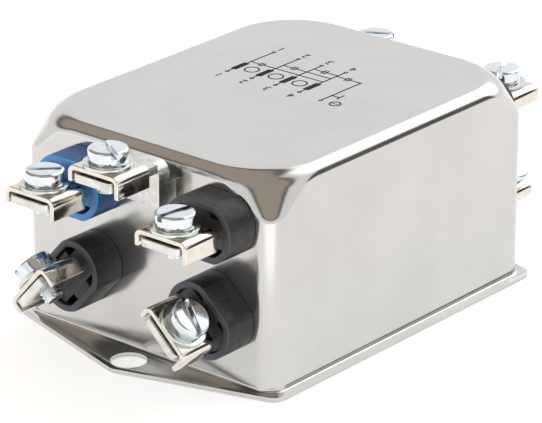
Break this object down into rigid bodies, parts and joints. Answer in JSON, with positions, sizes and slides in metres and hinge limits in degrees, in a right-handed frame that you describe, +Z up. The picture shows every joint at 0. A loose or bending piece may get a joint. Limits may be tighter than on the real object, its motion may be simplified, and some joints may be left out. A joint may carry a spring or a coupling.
{
  "type": "rfi filter",
  "caption": "Mains interference filter in a drawn metal can with a fixing ear at each end, saddle screw clamps on moulded insulators and an earth clamp.",
  "frame": {"origin": "under the middle of the base plate, on the surface the filter is bolted to", "axes": "+Z up out of that surface, Y along the can with the line end and its earth clamp towards -Y, X across the can"},
  "size_m": [0.0606, 0.1048, 0.0437],
  "materials": {
    "can_steel": "bright plated sheet",
    "nickel_steel": "bright nickel plate",
    "zinc_steel": "clear zinc plate",
    "tinned_brass": "tin plate",
    "black_plastic": "moulded, fine grain",
    "blue_plastic": "moulded, fine grain",
    "resin": "cast",
    "liner": "pressed board",
    "ferrite": "sintered",
    "copper": "enamelled copper",
    "board": "laminate",
    "yellow_film": "moulded case",
    "blue_film": "moulded case"
  },
  "bodies": {
    "housing": {"can": "can_steel", "base_plate": "can_steel", "resin": "resin", "liner": "liner", "choke_core": "ferrite", "winding_1": "copper", "winding_2": "copper", "winding_3": "copper", "winding_4": "copper", "capacitor_board": "board", "x_capacitor_1": "yellow_film", "x_capacitor_2": "yellow_film", "x_capacitor_3": "yellow_film", "y_capacitor": "blue_film", "leads_line": "copper", "leads_load": "copper", "earth_bracket": "tinned_brass", "insulator_line_n": "blue_plastic", "insulator_line_1": "black_plastic", "insulator_line_2": "black_plastic", "insulator_line_3": "black_plastic", "insulator_load_n": "blue_plastic", "insulator_load_1": "black_plastic", "insulator_load_2": "black_plastic", "insulator_load_3": "black_plastic", "tab_line_n": "tinned_brass", "tab_line_1": "tinned_brass", "tab_line_2": "tinned_brass", "tab_line_3": "tinned_brass", "tab_load_n": "tinned_brass", "tab_load_1": "tinned_brass", "tab_load_2": "tinned_brass", "tab_load_3": "tinned_brass"},
    "clamp_line_n": {"saddle_line_n": "nickel_steel", "washer_line_n": "zinc_steel"},
    "screw_line_n": {"screw_line_n": "zinc_steel"},
    "clamp_line_1": {"saddle_line_1": "nickel_steel", "washer_line_1": "zinc_steel"},
    "screw_line_1": {"screw_line_1": "zinc_steel"},
    "clamp_line_2": {"saddle_line_2": "nickel_steel", "washer_line_2": "zinc_steel"},
    "screw_line_2": {"screw_line_2": "zinc_steel"},
    "clamp_line_3": {"saddle_line_3": "nickel_steel", "washer_line_3": "zinc_steel"},
    "screw_line_3": {"screw_line_3": "zinc_steel"},
    "clamp_load_n": {"saddle_load_n": "nickel_steel", "washer_load_n": "zinc_steel"},
    "screw_load_n": {"screw_load_n": "zinc_steel"},
    "clamp_load_1": {"saddle_load_1": "nickel_steel", "washer_load_1": "zinc_steel"},
    "screw_load_1": {"screw_load_1": "zinc_steel"},
    "clamp_load_2": {"saddle_load_2": "nickel_steel", "washer_load_2": "zinc_steel"},
    "screw_load_2": {"screw_load_2": "zinc_steel"},
    "clamp_load_3": {"saddle_load_3": "nickel_steel", "washer_load_3": "zinc_steel"},
    "screw_load_3": {"screw_load_3": "zinc_steel"},
    "clamp_earth": {"saddle_earth": "nickel_steel", "washer_earth": "zinc_steel"},
    "screw_earth": {"screw_earth": "zinc_steel"}
  },
  "joints": [
    {"name": "lift_line_n", "type": "slide", "parent": "housing", "child": "clamp_line_n", "axis": [0, 0, 1], "range_m": [0, 0.0025]},
    {"name": "turn_line_n", "type": "hinge", "parent": "clamp_line_n", "child": "screw_line_n", "pos_m": [-0.01195, -0.048, 0.03069], "axis": [0, 0, 1], "range_deg": [0, 1286]},
    {"name": "lift_line_1", "type": "slide", "parent": "housing", "child": "clamp_line_1", "axis": [0, 0, 1], "range_m": [0, 0.0025]},
    {"name": "turn_line_1", "type": "hinge", "parent": "clamp_line_1", "child": "screw_line_1", "pos_m": [0.01795, -0.048, 0.03069], "axis": [0, 0, 1], "range_deg": [0, 1286]},
    {"name": "lift_line_2", "type": "slide", "parent": "housing", "child": "clamp_line_2", "axis": [-0.7431, 0, 0.6691], "range_m": [0, 0.0025]},
    {"name": "turn_line_2", "type": "hinge", "parent": "clamp_line_2", "child": "screw_line_2", "pos_m": [-0.01195, -0.048, 0.0141], "axis": [-0.7431, 0, 0.6691], "range_deg": [0, 1286]},
    {"name": "lift_line_3", "type": "slide", "parent": "housing", "child": "clamp_line_3", "axis": [0.682, 0, 0.7314], "range_m": [0, 0.0025]},
    {"name": "turn_line_3", "type": "hinge", "parent": "clamp_line_3", "child": "screw_line_3", "pos_m": [0.01795, -0.048, 0.0141], "axis": [0.682, 0, 0.7314], "range_deg": [0, 1286]},
    {"name": "lift_load_n", "type": "slide", "parent": "housing", "child": "clamp_load_n", "axis": [0, 0, 1], "range_m": [0, 0.0025]},
    {"name": "turn_load_n", "type": "hinge", "parent": "clamp_load_n", "child": "screw_load_n", "pos_m": [-0.01595, 0.048, 0.02859], "axis": [0, 0, 1], "range_deg": [0, 1286]},
    {"name": "lift_load_1", "type": "slide", "parent": "housing", "child": "clamp_load_1", "axis": [0, 0, 1], "range_m": [0, 0.0025]},
    {"name": "turn_load_1", "type": "hinge", "parent": "clamp_load_1", "child": "screw_load_1", "pos_m": [0.01395, 0.048, 0.02859], "axis": [0, 0, 1], "range_deg": [0, 1286]},
    {"name": "lift_load_2", "type": "slide", "parent": "housing", "child": "clamp_load_2", "axis": [-0.7431, 0, 0.6691], "range_m": [0, 0.0025]},
    {"name": "turn_load_2", "type": "hinge", "parent": "clamp_load_2", "child": "screw_load_2", "pos_m": [-0.01595, 0.048, 0.012], "axis": [-0.7431, 0, 0.6691], "range_deg": [0, 1286]},
    {"name": "lift_load_3", "type": "slide", "parent": "housing", "child": "clamp_load_3", "axis": [0.682, 0, 0.7314], "range_m": [0, 0.0025]},
    {"name": "turn_load_3", "type": "hinge", "parent": "clamp_load_3", "child": "screw_load_3", "pos_m": [0.01395, 0.048, 0.012], "axis": [0.682, 0, 0.7314], "range_deg": [0, 1286]},
    {"name": "lift_earth", "type": "slide", "parent": "housing", "child": "clamp_earth", "axis": [0, 0, 1], "range_m": [0, 0.0025]},
    {"name": "turn_earth", "type": "hinge", "parent": "clamp_earth", "child": "screw_earth", "pos_m": [0.003, -0.048, 0.0384], "axis": [0, 0, 1], "range_deg": [0, 1286]}
  ],
  "couplings": [
    {"joint": "turn_line_n", "follows": "lift_line_n", "rad_per_m": 8976},
    {"joint": "turn_line_1", "follows": "lift_line_1", "rad_per_m": 8976},
    {"joint": "turn_line_2", "follows": "lift_line_2", "rad_per_m": 8976},
    {"joint": "turn_line_3", "follows": "lift_line_3", "rad_per_m": 8976},
    {"joint": "turn_load_n", "follows": "lift_load_n", "rad_per_m": 8976},
    {"joint": "turn_load_1", "follows": "lift_load_1", "rad_per_m": 8976},
    {"joint": "turn_load_2", "follows": "lift_load_2", "rad_per_m": 8976},
    {"joint": "turn_load_3", "follows": "lift_load_3", "rad_per_m": 8976},
    {"joint": "turn_earth", "follows": "lift_earth", "rad_per_m": 8976}
  ]
}
